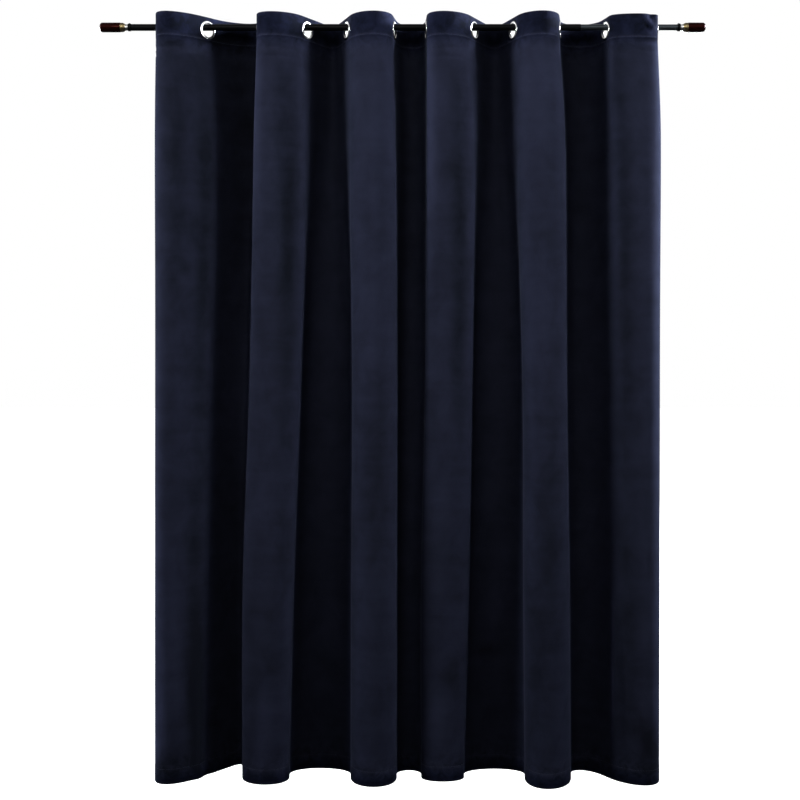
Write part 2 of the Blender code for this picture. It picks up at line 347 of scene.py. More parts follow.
# The cup is spun from brass with a sloping shoulder, polished once and now a little dull.
# It seats the finial against the neck.
CUP_SHOULDER = 0.0068
SHOULDER_ROUNDING = 0.0020
CUP_EDGE = 0.0008
CUP_LIP_ROUNDING = 0.0004
BRASS = (0.38, 0.30, 0.15)
BRASS_DULL = (0.18, 0.14, 0.07)

dull_brass = make_hard_finish("dull_brass", BRASS, BRASS_DULL, 0.012, (0.16, 0.36), 0.00001, Metallic=1.0)
for side, outward in (("left", -1), ("right", 1)):
    node = f"finial_cup_{side}"
    start, end, radius = size_along_rod(node)
    neck_radius = size_along_rod(f"finial_neck_{side}")[2]
    inner, outer = (start, end) if outward > 0 else (end, start)
    cup_section = [
        (inner, BORE_RADIUS, 0),
        (inner, neck_radius, CUP_LIP_ROUNDING),
        (inner + outward * CUP_EDGE, neck_radius + CUP_EDGE, CUP_LIP_ROUNDING),
        (inner + outward * CUP_SHOULDER, radius, SHOULDER_ROUNDING),
        (outer, radius, CUP_EDGE),
        (outer, BORE_RADIUS, 0),
    ]
    make_turned(f"cup_{side}", node, cup_section, dull_brass)


# Each finial is a turned cylinder in a glossy dark brown lacquer, rounded at its outer end. Its steel
# spigot runs through the cup, the neck and the collar into the tube.
FINIAL_ROUNDING = 0.0085
FINIAL_EDGE = 0.0010
CUP_GAP = 0.0003
BROWN = (0.0090, 0.0014, 0.0010)
BROWN_DARK = (0.0030, 0.0006, 0.0005)
RED_GLOSS = (1.00, 0.18, 0.15)

brown_lacquer = make_hard_finish("brown_lacquer", BROWN, BROWN_DARK, 0.03, (0.10, 0.24), 0.00001,
                                 Specular_IOR_Level=0.13, Specular_Tint=(*RED_GLOSS, 1), Coat_Weight=0.02,
                                 Coat_Roughness=0.15)
for side, outward in (("left", -1), ("right", 1)):
    node = f"finial_{side}"
    start, end, radius = size_along_rod(node)
    tip, spigot_end = (start, end) if outward < 0 else (end, start)
    cup_start, cup_end, _ = size_along_rod(f"finial_cup_{side}")
    shoulder = (cup_start if outward < 0 else cup_end) + outward * CUP_GAP
    finial_section = [
        (tip, 0, 0),
        (tip, radius, FINIAL_ROUNDING),
        (shoulder, radius, FINIAL_EDGE),
        (shoulder, SPIGOT_RADIUS, 0),
        (spigot_end, SPIGOT_RADIUS, 0),
        (spigot_end, 0, 0),
    ]
    make_turned(f"finial_body_{side}", node, finial_section, brown_lacquer)


# The eyelets are pressed from plated steel in two halves, a barrel with a rolled flange in front and a
# washer behind, closed on the heading. They hang on the rod, each turned the way its cloth runs.
EYELET_BORE = 0.022
EYELET_BARREL = 0.024
EYELET_CROWN = 0.0252
EYELET_RIM = 0.030
RIM_CORNER = 0.0298
BORE_HALF = 0.0030
CROWN_HALF = 0.0041
RIM_HALF = 0.0032
FLANGE_FACE = 0.0018
BORE_ROUNDING = 0.0012
CROWN_ROUNDING = 0.0016
RIM_ROUNDING = 0.0012
EYELET_STEPS = 96
EYELET_BELOW_EDGE = 0.042
ROD_GAP = 0.0003
HALVINGS = 30

# The sides of the folds, which run across the rod's line. Each has its place along that line at the
# heading, three depths between and the hem, and its splay in degrees at the heading and the hem.
Side = namedtuple("Side", "head upper middle low hem splay_head splay_hem")
SIDES = [
    Side(-0.780, -0.786, -0.786, -0.786, -0.786, 0, 0),
    Side(-0.622, -0.600, -0.620, -0.628, -0.628, 44, 38),
    Side(-0.456, -0.468, -0.485, -0.507, -0.508, -3, 4),
    Side(-0.299, -0.297, -0.320, -0.344, -0.358, 33, -5),
    Side(-0.171, -0.165, -0.153, -0.156, -0.158, 21, 0),
    Side(-0.019, -0.012, -0.010, -0.011, -0.012, 10, -2),
    Side(0.086, 0.086, 0.083, 0.070, 0.070, 2, -3),
    Side(0.240, 0.244, 0.233, 0.221, 0.205, 29, 0),
    Side(0.366, 0.374, 0.397, 0.400, 0.404, 21, -7),
    Side(0.515, 0.533, 0.538, 0.547, 0.550, 10, 4),
    Side(0.665, 0.675, 0.675, 0.672, 0.663, 15, 32),
    Side(0.824, 0.835, 0.834, 0.832, 0.831, -3, 0),
]


def travel(index, splay):
    """The way in which the cloth runs past a side: towards the room on even ones."""
    outward = -1 if index % 2 == 0 else 1
    return Vector((math.sin(splay), outward * math.cos(splay)))


def hang_below(side):
    """How far an eyelet's centre hangs below the rod's axis when the eyelet rests on the rod."""
    splay = math.radians(side.splay_head)
    outer_end = size_along_rod("rod_outer_tube")[1]
    radius = size_along_rod("rod_outer_tube" if side.head < outer_end else "rod_inner_tube")[2]
    wide = radius / math.cos(splay)
    shift = BORE_HALF * abs(math.tan(splay))
    turns = [math.radians(degrees) for degrees in range(91)]
    low, high = 0.0, EYELET_BORE
    for _ in range(HALVINGS):
        drop = (low + high) / 2
        reach = max(math.hypot(wide * math.cos(turn) + shift, drop + radius * math.sin(turn))
                    for turn in turns)
        if reach < EYELET_BORE - ROD_GAP:
            low = drop
        else:
            high = drop
    return low


hangs = [hang_below(side) for side in SIDES]
front_half = [
    (EYELET_BORE, BORE_HALF, BORE_ROUNDING),
    (EYELET_CROWN, CROWN_HALF, CROWN_ROUNDING),
    (RIM_CORNER, RIM_HALF, RIM_ROUNDING),
    (EYELET_RIM, FLANGE_FACE, 0),
    (EYELET_BARREL, FLANGE_FACE, 0),
]
back_half = [(out, -height, rounding) for out, height, rounding in reversed(front_half)]
eyelet_section = front_half + back_half
master_eyelet = spun("eyelet_master", eyelet_section, Vector((0, 0, 1)), EYELET_STEPS)
master_eyelet.data.materials.append(bright_steel)
for number, side in enumerate(SIDES):
    ring = master_eyelet.copy()
    ring.data = master_eyelet.data.copy()
    ring.name = f"eyelet_ring_{number + 1:02d}"
    bpy.context.scene.collection.objects.link(ring)
    way = travel(number, math.radians(side.splay_head))
    stand = Matrix.Rotation(math.atan2(-way.x, way.y), 4, "Z") @ Matrix.Rotation(math.pi / 2, 4, "Y")
    ring.data.transform(Matrix.Translation((side.head, 0, -hangs[number])) @ stand)
    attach(ring, "root")
    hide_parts(f"eyelet_{number + 1:02d}")
bpy.data.objects.remove(master_eyelet, do_unlink=True)


# The panel is one length of velvet, 2.90 m wide and 2.45 m long, with a short dense pile on its front
# and a plain knitted ground behind. Its top is turned over as a heading and its bottom turned up as a hem.
CLOTH_WIDTH = 2.90
CLOTH_DROP = 2.45
CLOTH_THICKNESS = 0.0020
FOLDED_THICKNESS = 0.0030
HEADING_DEPTH = 0.0755
HEM_DEPTH = 0.049
SEAM_STEP = 0.0055
HOLE_CLEARANCE = 0.0004
LEFT_END_CLOTH = 0.075
EYELET_SPACING = 0.25
END_CURL = math.radians(12)
HEADING_FLAT_HALF = 0.0315
HEM_FLAT_HALF = 0.010
KNOTS = [HEADING_DEPTH + SEAM_STEP, 0.40, 1.17, 1.85, CLOTH_DROP]
FLATS_RELAX = 0.9
SPLAY_RELAXES = 1.0
BEND_STEPS = 48
END_STEPS = 2

# How much cloth each fold towards the room and each valley between takes up, at the heading and the hem.
Bend = namedtuple("Bend", "name cloth_head cloth_hem")
BENDS = [
    Bend("fold_a", 0.250, 0.246),
    Bend("valley_ab", 0.250, 0.270),
    Bend("fold_b", 0.250, 0.253),
    Bend("valley_bc", 0.250, 0.289),
    Bend("fold_c", 0.250, 0.284),
    Bend("valley_cd", 0.250, 0.160),
    Bend("fold_d", 0.250, 0.198),
    Bend("valley_de", 0.250, 0.280),
    Bend("fold_e", 0.250, 0.318),
    Bend("valley_ef", 0.250, 0.178),
    Bend("fold_f", 0.233, 0.264),
]


def smooth_at(values, depth):
    """A smooth curve through one value at each knot, read at a depth below the top edge."""
    depth = min(max(depth, KNOTS[0]), KNOTS[-1])
    slopes = []
    for i in range(len(KNOTS)):
        before = max(i - 1, 0)
        after = min(i + 1, len(KNOTS) - 1)
        slopes.append((values[after] - values[before]) / (KNOTS[after] - KNOTS[before]))
    i = 0
    while depth > KNOTS[i + 1]:
        i += 1
    span = KNOTS[i + 1] - KNOTS[i]
    t = (depth - KNOTS[i]) / span
    start = (2 * t + 1) * (1 - t) ** 2
    end = t * t * (3 - 2 * t)
    leave = t * (1 - t) ** 2
    arrive = t * t * (t - 1)
    return start * values[i] + end * values[i + 1] + span * (leave * slopes[i] + arrive * slopes[i + 1])


def step_up(t):
    """Rises softly from nought to one."""
    t = min(max(t, 0.0), 1.0)
    return t * t * (3 - 2 * t)


def eased(head, low, depth, over):
    """A value that eases from the heading's to the lower cloth's over a length of drop."""
    return head + (low - head) * step_up((depth - KNOTS[0]) / over)


def bezier(cage, t):
    a, b, c, d = cage
    s = 1 - t
    return a * s ** 3 + b * (3 * s * s * t) + c * (3 * s * t * t) + d * t ** 3


def bend_points(start, leave, end, arrive, cloth, count):
    """A bend from start to end that takes up the given length of cloth, as that many points."""
    low, high = 0.0, cloth
    measured = BEND_STEPS // 2
    for _ in range(HALVINGS):
        handle = (low + high) / 2
        cage = (start, start + leave * handle, end - arrive * handle, end)
        points = [bezier(cage, i / measured) for i in range(measured + 1)]
        if sum((b - a).length for a, b in zip(points, points[1:])) < cloth:
            low = handle
        else:
            high = handle
    return [bezier(cage, i / count) for i in range(count + 1)]


def end_points(start, way, length, count):
    """The free cloth past the last side, which curls slightly as it goes."""
    points = [start]
    for i in range(count):
        turn = END_CURL * (i + 1) / count
        points.append(points[-1] + Matrix.Rotation(turn, 2) @ way * (length / count))
    return points[1:]


class Plan:
    """The line of the cloth seen from above at one depth below its top edge, read by how far along the
    cloth a point is from its left edge."""

    def __init__(self, depth):
        flat_half = eased(HEADING_FLAT_HALF, HEM_FLAT_HALF, depth, FLATS_RELAX)
        crossings = []
        ways = []
        for i, side in enumerate(SIDES):
            across = smooth_at((side.head, side.upper, side.middle, side.low, side.hem), depth)
            splay = math.radians(eased(side.splay_head, side.splay_hem, depth, SPLAY_RELAXES))
            crossings.append(Vector((across, 0.0)))
            ways.append(travel(i, splay))
        start = crossings[0] - ways[0] * flat_half
        left = end_points(start, -ways[0], LEFT_END_CLOTH - flat_half, END_STEPS)
        points = left[::-1] + [start, crossings[0]]
        used = LEFT_END_CLOTH
        self.bend_middles = []
        for i, bend in enumerate(BENDS):
            cloth = eased(bend.cloth_head, bend.cloth_hem, depth, KNOTS[-1] - KNOTS[0])
            self.bend_middles.append(used + cloth / 2)
            used += cloth
            leave = crossings[i] + ways[i] * flat_half
            arrive = crossings[i + 1] - ways[i + 1] * flat_half
            free = cloth - 2 * flat_half
            points += bend_points(leave, ways[i], arrive, ways[i + 1], free, BEND_STEPS)
            points.append(crossings[i + 1])
        finish = crossings[-1] + ways[-1] * flat_half
        right = end_points(finish, ways[-1], CLOTH_WIDTH - used - flat_half, END_STEPS)
        self.points = points + [finish] + right
        self.along = [0.0]
        for a, b in zip(self.points, self.points[1:]):
            self.along.append(self.along[-1] + (b - a).length)
        self.stretch = self.along[-1] / CLOTH_WIDTH

    def at(self, along_cloth):
        """The place at that distance along the cloth, and the way to its front."""
        wanted = along_cloth * self.stretch
        low, high = 0, len(self.points) - 2
        while low < high:
            middle = (low + high + 1) // 2
            if self.along[middle] <= wanted:
                low = middle
            else:
                high = middle - 1
        a, b = self.points[low], self.points[low + 1]
        span = self.along[low + 1] - self.along[low]
        share = (wanted - self.along[low]) / span if span > 0 else 0.0
        way = (b - a).normalized()
        return a.lerp(b, share), Vector((way.y, -way.x))


def top_edge(along_cloth):
    """The height of the top edge, set by the eyelets that the cloth hangs from."""
    place = (along_cloth - LEFT_END_CLOTH) / EYELET_SPACING
    left = min(max(math.floor(place), 0), len(hangs) - 2)
    share = min(max(place - left, 0.0), 1.0)
    return EYELET_BELOW_EDGE - hangs[left] - share * (hangs[left + 1] - hangs[left])


# How far along the cloth each eyelet's centre is.
eyelet_places = [LEFT_END_CLOTH + sum(bend.cloth_head for bend in BENDS[:number])
                 for number in range(len(SIDES))]


# Soft creases in the cloth: the fold or valley, how far right of its middle, the depth below the top edge,
# half lengths along and across, the tilt from level, and the height, less for troughs.
Mark = namedtuple("Mark", "bend across depth long wide tilt amount")
CREASES = [Mark(*row) for row in (
    ("fold_a", -0.030, 0.112, 0.090, 0.010, -2, -0.0030),
    ("fold_a", 0.055, 0.128, 0.070, 0.012, -5, 0.0024),
    ("fold_a", -0.060, 0.134, 0.050, 0.009, 6, -0.0024),
    ("fold_b", 0.000, 0.112, 0.080, 0.009, 2, -0.0024),
    ("fold_b", 0.000, 0.140, 0.090, 0.010, 1, -0.0028),
    ("fold_c", 0.038, 0.150, 0.022, 0.008, 40, -0.0014),
    ("fold_d", 0.004, 0.114, 0.075, 0.009, -3, -0.0022),
    ("fold_d", 0.004, 0.142, 0.085, 0.010, -1, -0.0028),
    ("fold_e", 0.040, 0.148, 0.024, 0.008, 35, -0.0014),
    ("fold_f", 0.030, 0.118, 0.050, 0.008, 4, -0.0014),
    ("fold_f", 0.036, 0.040, 0.040, 0.010, 55, -0.0045),
    ("fold_f", 0.050, 0.050, 0.040, 0.010, -40, 0.0036),
    ("fold_f", 0.024, 0.030, 0.034, 0.010, 70, 0.0028),
    ("fold_f", 0.054, 0.008, 0.040, 0.016, 65, -0.0070),
    ("fold_a", -0.014, 0.420, 0.380, 0.026, 90, 0.0045),
    ("fold_a", 0.040, 0.420, 0.380, 0.026, 90, -0.0030),
    ("fold_a", 0.020, 0.430, 0.070, 0.022, 8, -0.0014),
    ("fold_a", 0.000, 0.835, 0.034, 0.010, 30, -0.0026),
    ("fold_a", 0.036, 0.800, 0.040, 0.010, -24, -0.0026),
    ("fold_a", 0.060, 0.770, 0.030, 0.009, -50, 0.0022),
    ("fold_a", 0.030, 1.120, 0.080, 0.030, -10, 0.0016),
    ("fold_a", -0.006, 2.080, 0.320, 0.026, 88, 0.0060),
    ("fold_a", 0.040, 2.100, 0.300, 0.026, 87, -0.0036),
    ("fold_a", 0.088, 2.300, 0.400, 0.024, 90, 0.0080),
    ("fold_a", 0.132, 2.340, 0.300, 0.026, 90, -0.0060),
    ("fold_b", -0.010, 0.360, 0.330, 0.026, 90, 0.0045),
    ("fold_b", 0.044, 0.360, 0.330, 0.026, 90, -0.0030),
    ("fold_b", -0.010, 1.460, 0.075, 0.020, -6, -0.0020),
    ("fold_b", 0.020, 1.400, 0.060, 0.016, 8, 0.0018),
    ("fold_b", -0.012, 2.200, 0.050, 0.012, -14, -0.0020),
    ("fold_b", 0.000, 2.240, 0.050, 0.014, -10, 0.0016),
    ("fold_c", 0.000, 0.780, 0.080, 0.026, 5, -0.0014),
    ("fold_c", -0.010, 1.760, 0.070, 0.024, -8, 0.0014),
    ("fold_d", 0.002, 0.360, 0.330, 0.026, 90, 0.0045),
    ("fold_d", 0.054, 0.360, 0.330, 0.026, 90, -0.0030),
    ("fold_d", -0.010, 1.500, 0.070, 0.020, -6, -0.0020),
    ("fold_d", 0.018, 1.430, 0.060, 0.016, 8, 0.0018),
    ("fold_d", -0.008, 2.195, 0.050, 0.012, -15, -0.0020),
    ("fold_d", 0.004, 2.240, 0.050, 0.014, -10, 0.0016),
    ("fold_e", 0.000, 0.560, 0.070, 0.022, 5, -0.0013),
    ("fold_e", 0.012, 1.300, 0.080, 0.030, -6, 0.0014),
    ("fold_f", 0.000, 0.940, 0.080, 0.026, 6, -0.0014),
    ("fold_f", -0.030, 2.210, 0.160, 0.016, 72, -0.0022),
    ("fold_f", -0.086, 2.130, 0.360, 0.020, 89, 0.0080),
    ("fold_f", -0.054, 2.190, 0.330, 0.014, 88, -0.0060),
    ("valley_bc", 0.010, 0.380, 0.080, 0.024, 12, -0.0016),
    ("valley_de", -0.010, 0.330, 0.080, 0.024, -10, -0.0016),
    ("valley_ef", 0.000, 1.650, 0.200, 0.024, 86, 0.0024),
)]

# Patches of painted light and shade on the pile, lighter where the amount is above nought and darker where
# it is below: on the lit and shaded sides of the folds, along ridges and creases, in the valleys and by the
# eyelets. They are given like the creases.
PAINTED_LIGHT_AND_SHADE = [Mark(*row) for row in (
    ("fold_a", -0.080, 0.300, 0.450, 0.030, 90, 0.30),
    ("fold_a", -0.100, 0.920, 0.320, 0.040, 90, -0.25),
    ("fold_a", -0.005, 0.450, 0.750, 0.055, 90, -0.30),
    ("fold_a", 0.090, 0.700, 1.100, 0.045, 90, -0.50),
    ("fold_a", 0.080, 1.950, 0.800, 0.050, 90, -0.42),
    ("fold_a", 0.000, 1.950, 0.500, 0.050, 90, 0.20),
    ("fold_a", -0.100, 1.850, 0.600, 0.030, 90, 0.45),
    ("fold_a", 0.010, 2.420, 0.160, 0.070, 90, -0.35),
    ("fold_a", 0.085, 2.250, 0.420, 0.045, 90, -0.45),
    ("fold_a", -0.050, 2.330, 0.060, 0.030, 0, 0.40),
    ("fold_a", -0.060, 2.400, 0.080, 0.030, 0, -0.35),
    ("fold_a", 0.080, 0.030, 0.120, 0.050, 0, -0.60),
    ("valley_ab", -0.070, 0.060, 0.110, 0.050, 0, -0.60),
    ("fold_b", 0.085, 0.030, 0.090, 0.050, 0, -0.60),
    ("valley_bc", -0.100, 0.030, 0.080, 0.050, 0, -0.50),
    ("fold_d", 0.085, 0.030, 0.090, 0.050, 0, -0.45),
    ("fold_e", 0.060, 0.030, 0.100, 0.050, 0, -0.45),
    ("fold_a", 0.024, 0.820, 0.050, 0.016, -28, -0.30),
    ("fold_a", -0.005, 0.860, 0.040, 0.014, 35, -0.26),
    ("fold_a", -0.030, 2.240, 0.190, 0.014, 86, 0.45),
    ("fold_b", -0.080, 0.300, 0.520, 0.042, 90, 0.55),
    ("fold_b", 0.040, 0.720, 0.900, 0.050, 90, -0.42),
    ("fold_b", 0.045, 1.720, 0.180, 0.045, 90, -0.16),
    ("fold_b", -0.020, 1.560, 0.090, 0.090, 0, 0.14),
    ("fold_b", 0.030, 0.130, 0.060, 0.060, 0, 0.40),
    ("fold_b", 0.020, 2.070, 0.120, 0.050, 90, -0.16),
    ("fold_b", 0.000, 2.260, 0.200, 0.050, 90, 0.26),
    ("fold_c", 0.000, 0.300, 0.500, 0.070, 90, 0.22),
    ("fold_c", 0.000, 0.980, 0.250, 0.060, 90, 0.20),
    ("fold_c", 0.000, 1.450, 0.450, 0.070, 90, -0.24),
    ("fold_d", -0.065, 0.300, 0.520, 0.040, 90, 0.60),
    ("fold_d", 0.030, 0.700, 0.900, 0.045, 90, -0.40),
    ("fold_d", 0.035, 1.720, 0.200, 0.045, 90, -0.12),
    ("fold_d", -0.030, 1.540, 0.090, 0.090, 0, 0.14),
    ("fold_d", 0.030, 0.130, 0.060, 0.060, 0, 0.30),
    ("fold_d", 0.030, 2.120, 0.140, 0.040, 80, -0.30),
    ("fold_d", -0.030, 2.260, 0.220, 0.050, 90, 0.34),
    ("fold_e", -0.030, 0.250, 0.350, 0.060, 90, 0.32),
    ("fold_e", 0.010, 0.220, 0.160, 0.080, 90, 0.20),
    ("fold_e", -0.020, 0.980, 0.220, 0.060, 90, 0.24),
    ("fold_e", 0.000, 1.700, 0.650, 0.070, 90, -0.20),
    ("fold_e", -0.050, 2.100, 0.450, 0.050, 90, -0.30),
    ("fold_f", -0.055, 0.900, 1.300, 0.040, 90, -0.38),
    ("fold_f", -0.050, 2.100, 0.600, 0.050, 90, -0.33),
    ("fold_f", 0.020, 2.400, 0.200, 0.090, 90, -0.34),
    ("fold_f", 0.110, 1.200, 0.620, 0.030, 90, -0.45),
    ("fold_f", -0.104, 2.080, 0.360, 0.013, 90, 0.60),
    ("fold_f", 0.046, 0.020, 0.036, 0.010, 60, 0.70),
    ("fold_f", 0.032, 0.034, 0.036, 0.010, 50, -0.60),
    ("fold_f", 0.044, 0.056, 0.036, 0.010, 40, 0.70),
    ("fold_f", 0.020, 0.052, 0.034, 0.010, -35, -0.50),
    ("fold_f", 0.044, 0.082, 0.060, 0.009, 0, -0.45),
    ("fold_f", 0.050, 0.096, 0.050, 0.009, 6, 0.35),
    ("fold_f", 0.036, 2.330, 0.130, 0.030, 58, -0.50),
    ("fold_f", 0.080, 2.300, 0.180, 0.025, 80, 0.30),
    ("valley_ab", 0.000, 0.300, 0.600, 0.100, 90, -0.28),
    ("valley_ab", 0.000, 1.200, 0.450, 0.090, 90, 0.30),
    ("valley_bc", 0.000, 1.200, 1.500, 0.090, 90, 0.40),
    ("valley_de", 0.000, 1.200, 1.500, 0.090, 90, 0.40),
    ("valley_bc", -0.020, 1.840, 0.080, 0.022, 4, -0.30),
    ("valley_bc", 0.030, 1.960, 0.140, 0.040, 90, 0.25),
    ("valley_de", 0.020, 1.670, 0.090, 0.020, -3, -0.34),
    ("valley_de", -0.020, 1.560, 0.100, 0.030, 90, 0.30),
    ("valley_de", -0.010, 2.060, 0.080, 0.020, 3, -0.30),
    ("valley_de", 0.000, 1.900, 0.120, 0.040, 90, 0.26),
    ("valley_cd", 0.000, 1.400, 0.900, 0.050, 90, 0.26),
    ("valley_ef", 0.010, 1.500, 0.900, 0.060, 90, 0.20),
)]
BEND_NUMBER = {bend.name: number for number, bend in enumerate(BENDS)}
FLAT_PAST_RIM = 0.003
CREASES_RISE_OVER = 0.018


def clear_of_eyelets(along_cloth, depth):
    """Nought under the eyelets' flanges, where the cloth is held flat, and one away from them."""
    nearest = min(math.hypot(along_cloth - place, depth - EYELET_BELOW_EDGE) for place in eyelet_places)
    return step_up((nearest - EYELET_RIM - FLAT_PAST_RIM) / CREASES_RISE_OVER)


def marked(marks, plan, along_cloth, depth):
    """The sum of the marks' amounts at a place, each fading out to its ends and its sides."""
    amount = 0.0
    for mark in marks:
        run = along_cloth - plan.bend_middles[BEND_NUMBER[mark.bend]] - mark.across
        fall = depth - mark.depth
        reach = mark.long + mark.wide
        if abs(run) > reach or abs(fall) > reach:
            continue
        tilt = math.radians(mark.tilt)
        lengthwise = (run * math.cos(tilt) + fall * math.sin(tilt)) / mark.long
        crosswise = (fall * math.cos(tilt) - run * math.sin(tilt)) / mark.wide
        if abs(lengthwise) < 1:
            amount += mark.amount * step_up(1 - abs(lengthwise)) * math.exp(-2 * crosswise * crosswise)
    return amount


def cloth_place(plan, along_cloth, depth):
    """A place on the middle surface of the hanging cloth, with its creases."""
    place, front = plan.at(along_cloth)
    height = marked(CREASES, plan, along_cloth, depth) * clear_of_eyelets(along_cloth, depth)
    place = place + front * height
    return Vector((place.x, place.y, top_edge(along_cloth) - depth))


# Columns of the cloth's grid, close together at the eyelets, and rows, close together at the top edge,
# the heading's seam and the hem.
EYELET_COLUMN = 0.006
EYELET_COLUMNS_HALF = 5
BEND_COLUMNS = 19
END_COLUMNS = 5


def column_places():
    held = EYELET_COLUMN * EYELET_COLUMNS_HALF
    places = [(eyelet_places[0] - held) * i / END_COLUMNS for i in range(END_COLUMNS)]
    for number, eyelet in enumerate(eyelet_places):
        places += [eyelet + EYELET_COLUMN * i for i in range(-EYELET_COLUMNS_HALF, EYELET_COLUMNS_HALF + 1)]
        free_from = eyelet + held
        if number + 1 < len(eyelet_places):
            free_to = eyelet_places[number + 1] - held
            places += [free_from + (free_to - free_from) * i / BEND_COLUMNS for i in range(1, BEND_COLUMNS)]
        else:
            step = (CLOTH_WIDTH - free_from) / END_COLUMNS
            places += [free_from + step * i for i in range(1, END_COLUMNS + 1)]
    return places


def evenly(start, end, count):
    """Depths from start up to, but without, end."""
    return [start + (end - start) * i / count for i in range(count)]


ROUNDED_EDGE = [0.0, 0.0004, 0.0010, 0.0020]
HEADING_STITCH = HEADING_DEPTH - 0.0020
HEM_TOP = CLOTH_DROP - HEM_DEPTH
HEM_STITCH = HEM_TOP + 0.0020
ROW_DEPTHS = (
    ROUNDED_EDGE
    + evenly(0.005, HEADING_STITCH - 0.0015, 12)
    + [HEADING_STITCH - 0.0015, HEADING_STITCH, HEADING_STITCH + 0.0015]
    + [HEADING_DEPTH, HEADING_DEPTH + SEAM_STEP]
    + evenly(0.088, 0.180, 20)
    + evenly(0.180, HEM_TOP - SEAM_STEP, 66)
    + [HEM_TOP - SEAM_STEP, HEM_TOP, HEM_STITCH - 0.0010, HEM_STITCH, HEM_STITCH + 0.0015]
    + evenly(HEM_STITCH + 0.006, CLOTH_DROP - 0.0035, 5)
    + [CLOTH_DROP - place for place in reversed(ROUNDED_EDGE)]
)
STITCH_PULL = 0.45
THINNEST_EDGE = 0.2
HOLE_MARGIN = 0.001


def thickness_share(along_cloth, depth):
    """Thick where the cloth is turned over, pinched at the stitches, and rounded off at every edge."""
    in_heading = depth <= HEADING_DEPTH + SAME_PLACE
    in_hem = depth >= HEM_TOP - SAME_PLACE
    share = 1.0 if in_heading or in_hem else CLOTH_THICKNESS / FOLDED_THICKNESS
    if min(abs(depth - HEADING_STITCH), abs(depth - HEM_STITCH)) < SAME_PLACE:
        share = STITCH_PULL
    edge = min(depth, CLOTH_DROP - depth, along_cloth, CLOTH_WIDTH - along_cloth)
    round_radius = FOLDED_THICKNESS / 2
    if edge < round_radius:
        inwards = 1 - edge / round_radius
        share = max(share * math.sqrt(1 - inwards * inwards), THINNEST_EDGE)
    return share


def make_cloth_grid():
    """The middle surface of the cloth. Attributes hold each corner's place along and down the cloth, and the
    light and shade painted on its pile."""
    columns = column_places()
    last_column = len(columns) - 1
    last_row = len(ROW_DEPTHS) - 1
    plans = [Plan(depth) for depth in ROW_DEPTHS]
    grid = bmesh.new()
    bmesh.ops.create_grid(grid, x_segments=last_column, y_segments=last_row, size=1)
    cloth_layer = grid.verts.layers.float_vector.new("cloth")
    share_layer = grid.verts.layers.float.new("thickness")
    painted_light_layer = grid.verts.layers.float.new("painted_light")
    for corner in grid.verts:
        along_cloth = columns[round((1 + corner.co.x) / 2 * last_column)]
        row = round((1 - corner.co.y) / 2 * last_row)
        depth = ROW_DEPTHS[row]
        corner.co = cloth_place(plans[row], along_cloth, depth)
        corner[cloth_layer] = (along_cloth, depth, 0)
        corner[share_layer] = thickness_share(along_cloth, depth)
        corner[painted_light_layer] = marked(PAINTED_LIGHT_AND_SHADE, plans[row], along_cloth, depth)
    return grid, cloth_layer, share_layer


def cut_eyelet_holes(grid, cloth_layer):
    """Cuts a hole for each eyelet's barrel and draws the cut edge in to a circle, hidden by the flanges."""
    radius = EYELET_BARREL + HOLE_CLEARANCE
    inside = []
    for face in grid.faces:
        if face.calc_center_median().z < -HEADING_DEPTH:
            continue
        for number, place in enumerate(eyelet_places):
            offsets = [(corner[cloth_layer].x - place, corner[cloth_layer].y - EYELET_BELOW_EDGE)
                       for corner in face.verts]
            if min(math.hypot(*offset) for offset in offsets) < radius - HOLE_MARGIN:
                inside.append((face, number))
    rim = {}
    for face, number in inside:
        for corner in face.verts:
            rim[corner] = number
    bmesh.ops.delete(grid, geom=[face for face, _ in inside], context="FACES")
    for corner, number in rim.items():
        if not corner.is_valid:
            continue
        side = SIDES[number]
        centre = Vector((side.head, 0.0, -hangs[number]))
        corner.co = centre + (corner.co - centre).normalized() * radius


def make_panel(finishes):
    grid, cloth_layer, share_layer = make_cloth_grid()
    cut_eyelet_holes(grid, cloth_layer)
    shares = [corner[share_layer] for corner in grid.verts]
    for face in grid.faces:
        face.smooth = True
    mesh = bpy.data.meshes.new("velvet_curtain")
    grid.to_mesh(mesh)
    grid.free()
    panel = bpy.data.objects.new("velvet_curtain", mesh)
    bpy.context.scene.collection.objects.link(panel)
    for finish in finishes:
        mesh.materials.append(finish)
    layers = panel.vertex_groups.new(name="layers")
    for corner, share in enumerate(shares):
        layers.add([corner], share, "REPLACE")
    solid = panel.modifiers.new("cloth thickness", "SOLIDIFY")
    solid.thickness = FOLDED_THICKNESS
    solid.offset = 0
    solid.use_even_offset = True
    solid.vertex_group = layers.name
    solid.material_offset = 1
    bpy.ops.object.select_all(action="DESELECT")
    panel.select_set(True)
    bpy.context.view_layer.objects.active = panel
    bpy.ops.object.modifier_apply(modifier=solid.name)
    return panel


# The look of the velvet: a navy pile whose tone differs this way and that, crushed in level bands where it
# lay folded, with a lighter bloom where it is seen along its surface, and with light and shade painted on
# its folds and by its seams. The ground behind is plain and matt.
PILE_DARK = (0.0070, 0.0083, 0.0146)
PILE_LIGHT = (0.0250, 0.0286, 0.0580)
GROUND_DARK = (0.0130, 0.0150, 0.0270)
GROUND_LIGHT = (0.0250, 0.0285, 0.0500)
BLOOM = (0.50, 0.62, 1.00)
PATCHES_PER_METRE = (15, 11, 1)
PATCHES_TURN = (0, 0, 0.5)
BANDS_PER_METRE = (5, 26, 1)
BANDS_SHIFT = (3.1, 7.7, 0)
BANDS_SHARE = 0.30
RUMPLES_PER_METRE = 34
HANDLED_AT_TOP = 0.20
HANDLED_AT_HEM = 0.14
HANDLED_BLEND = 0.15
EVEN_TONE = 0.5
PATTERN_FROM = (0.32, 0.68)
PATTERN_TO = (0.10, 0.90)
UNREST_FROM = (0.15, 0.6)
UNREST_TO = (0.55, 1.0)
GRAIN_TONES = (0.84, 1.16)
GRAIN_STRENGTH = 0.6
